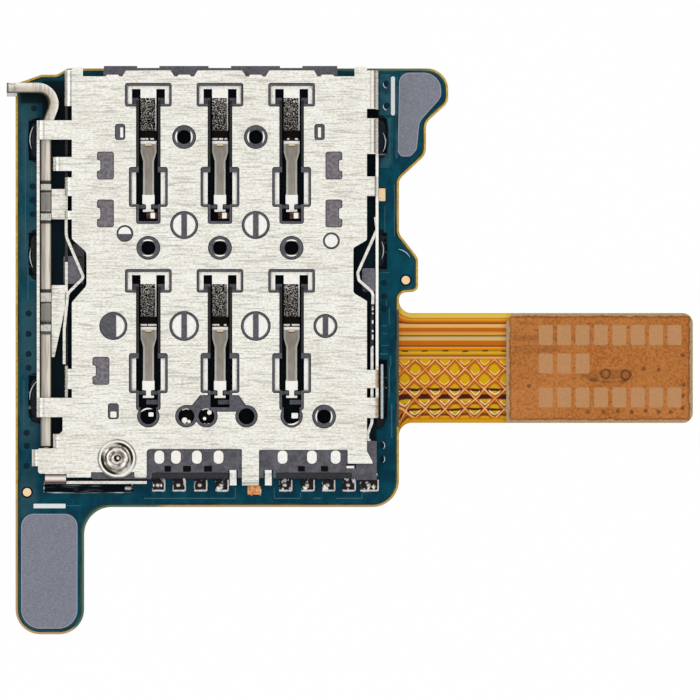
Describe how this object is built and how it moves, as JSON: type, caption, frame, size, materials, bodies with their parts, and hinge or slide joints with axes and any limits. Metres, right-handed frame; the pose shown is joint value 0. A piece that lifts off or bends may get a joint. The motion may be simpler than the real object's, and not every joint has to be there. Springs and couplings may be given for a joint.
{
  "type": "sim card socket",
  "caption": "Push-to-eject card tray socket with spring contacts under a stamped shell, on a rigid-flex board whose film tail ends in a plug.",
  "frame": {"origin": "on the board's underside, below the middle contact column and midway between the two contact rows", "axes": "+X towards the film tail, +Y towards the tray mouth, +Z out of the board's component side"},
  "size_m": [0.0244, 0.0201, 0.0021],
  "materials": {
    "board_substrate": "glass fibre laminate edge",
    "board_mask": "petrol solder mask",
    "film": "amber film over copper",
    "stiffener": "orange-brown film, matt",
    "bare_pad": "grey, matt",
    "plug_plastic": "black moulding",
    "gold": "gold flash",
    "shell_sheet": "brushed, slightly warm",
    "moulding": "dark grey moulding",
    "tinned_strip": "bright tin",
    "spring_strip": "bright spring strip",
    "contact_strip": "bronze-grey, satin",
    "rod_strip": "satin",
    "rivet_steel": "turned"
  },
  "bodies": {
    "socket": {"lower_board": "board_substrate", "upper_board": "board_mask", "flex_circuit": "film", "leg_pad": "bare_pad", "ear_pad": "bare_pad", "tail_stiffener": "stiffener", "plug_housing": "plug_plastic", "plug_contacts": "gold", "shell": "shell_sheet", "insulator": "moulding", "rear_tab_left": "tinned_strip", "rear_tab_right": "tinned_strip", "ground_terminal": "tinned_strip", "switch_terminal": "tinned_strip", "corner_hold_down": "tinned_strip", "detect_anchor": "spring_strip", "rivet": "rivet_steel", "terminal_1": "tinned_strip", "terminal_2": "tinned_strip", "terminal_3": "tinned_strip", "terminal_4": "tinned_strip", "terminal_5": "tinned_strip", "terminal_6": "tinned_strip"},
    "push_rod": {"push_rod": "rod_strip"},
    "ejector_lever": {"ejector_lever": "rod_strip"},
    "detect_spring": {"detect_spring": "spring_strip"},
    "contact_1": {"contact_1": "contact_strip"},
    "contact_2": {"contact_2": "contact_strip"},
    "contact_3": {"contact_3": "contact_strip"},
    "contact_4": {"contact_4": "contact_strip"},
    "contact_5": {"contact_5": "contact_strip"},
    "contact_6": {"contact_6": "contact_strip"}
  },
  "joints": [
    {"name": "push_rod_slide", "type": "slide", "parent": "socket", "child": "push_rod", "axis": [0, -1, 0], "range_m": [0, 0.00095]},
    {"name": "ejector_lever_pivot", "type": "hinge", "parent": "socket", "child": "ejector_lever", "pos_m": [-0.00365, -0.00798, 0.00095], "axis": [0, 0, 1], "range_deg": [0, 21.55]},
    {"name": "contact_1_bend", "type": "hinge", "parent": "socket", "child": "contact_1", "pos_m": [-0.00254, 0.00481, 0.0016], "axis": [-1, 0, 0], "range_deg": [0, 6], "stiffness_Nm_per_rad": 0.0045},
    {"name": "contact_2_bend", "type": "hinge", "parent": "socket", "child": "contact_2", "pos_m": [0, 0.00481, 0.0016], "axis": [-1, 0, 0], "range_deg": [0, 6], "stiffness_Nm_per_rad": 0.0045},
    {"name": "contact_3_bend", "type": "hinge", "parent": "socket", "child": "contact_3", "pos_m": [0.00254, 0.00481, 0.0016], "axis": [-1, 0, 0], "range_deg": [0, 6], "stiffness_Nm_per_rad": 0.0045},
    {"name": "contact_4_bend", "type": "hinge", "parent": "socket", "child": "contact_4", "pos_m": [-0.00254, -0.00179, 0.0016], "axis": [-1, 0, 0], "range_deg": [0, 6], "stiffness_Nm_per_rad": 0.0045},
    {"name": "contact_5_bend", "type": "hinge", "parent": "socket", "child": "contact_5", "pos_m": [0, -0.00179, 0.0016], "axis": [-1, 0, 0], "range_deg": [0, 6], "stiffness_Nm_per_rad": 0.0045},
    {"name": "contact_6_bend", "type": "hinge", "parent": "socket", "child": "contact_6", "pos_m": [0.00254, -0.00179, 0.0016], "axis": [-1, 0, 0], "range_deg": [0, 6], "stiffness_Nm_per_rad": 0.0045},
    {"name": "detect_spring_bend", "type": "hinge", "parent": "socket", "child": "detect_spring", "pos_m": [0.00544, -0.00466, 0.00111], "axis": [0, 0, -1], "range_deg": [0, 3], "stiffness_Nm_per_rad": 0.0125}
  ],
  "couplings": [
    {"joint": "ejector_lever_pivot", "follows": "push_rod_slide", "rad_per_m": 395.5}
  ]
}
